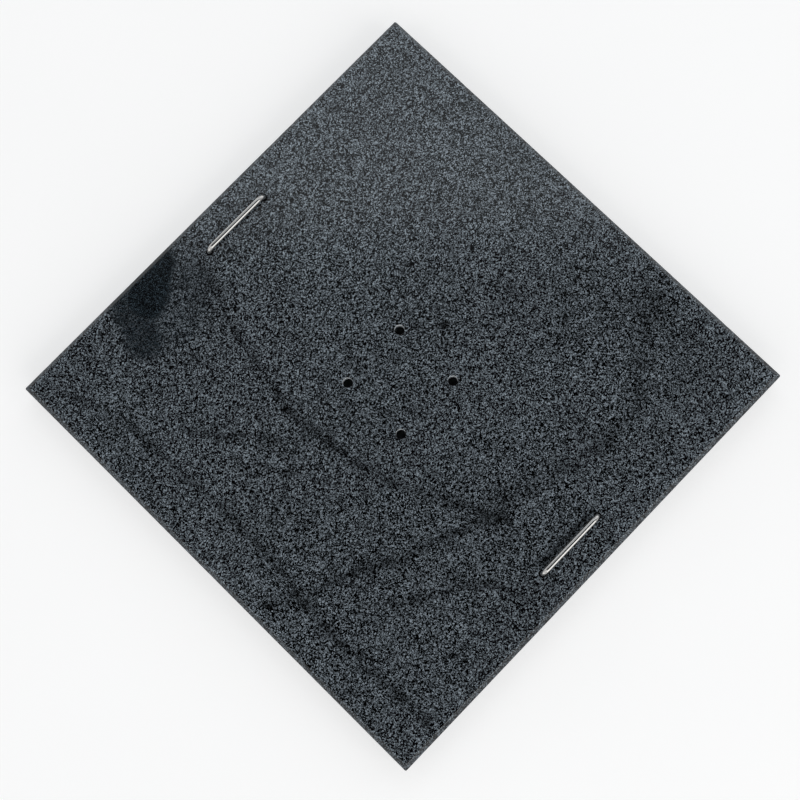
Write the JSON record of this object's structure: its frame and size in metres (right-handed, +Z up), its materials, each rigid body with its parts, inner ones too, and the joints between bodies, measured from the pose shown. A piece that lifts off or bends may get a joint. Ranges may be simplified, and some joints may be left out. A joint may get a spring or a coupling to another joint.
{
  "type": "granite ballast plate",
  "caption": "Square polished granite ballast plate with a central mast bolt pattern, two stainless lifting handles that slide up out of the stone, and rubber feet.",
  "frame": {"origin": "on the ground under the centre of the slab", "axes": "+Z up through the slab; +X along both handle bars; +Y from the front handle to the back handle"},
  "size_m": [0.8, 0.8, 0.0704],
  "materials": {
    "granite": "polished dark grey granite with fine black and light grain; drilled walls are paler and dull",
    "stainless": "fine polished stainless bar",
    "fastener_steel": "plain stainless fasteners",
    "natural_nylon": "natural white nylon",
    "black_nylon": "black nylon, matt",
    "foot_rubber": "black rubber, ribbed underside"
  },
  "bodies": {
    "slab": {"granite_slab": "granite", "front_left_guide_sleeve": "black_nylon", "front_left_rubber_foot": "foot_rubber", "front_right_guide_sleeve": "black_nylon", "front_right_rubber_foot": "foot_rubber", "back_left_guide_sleeve": "black_nylon", "back_left_rubber_foot": "foot_rubber", "back_right_guide_sleeve": "black_nylon", "back_right_rubber_foot": "foot_rubber"},
    "front_handle": {"front_handle": "stainless", "front_left_washer": "fastener_steel", "front_left_lock_nut": "fastener_steel", "front_left_nylon_ring": "natural_nylon", "front_right_washer": "fastener_steel", "front_right_lock_nut": "fastener_steel", "front_right_nylon_ring": "natural_nylon"},
    "back_handle": {"back_handle": "stainless", "back_left_washer": "fastener_steel", "back_left_lock_nut": "fastener_steel", "back_left_nylon_ring": "natural_nylon", "back_right_washer": "fastener_steel", "back_right_lock_nut": "fastener_steel", "back_right_nylon_ring": "natural_nylon"}
  },
  "joints": [
    {"name": "front_handle_slide", "type": "slide", "parent": "slab", "child": "front_handle", "axis": [0, 0, 1], "range_m": [0, 0.0234]},
    {"name": "back_handle_slide", "type": "slide", "parent": "slab", "child": "back_handle", "axis": [0, 0, 1], "range_m": [0, 0.0234]}
  ]
}
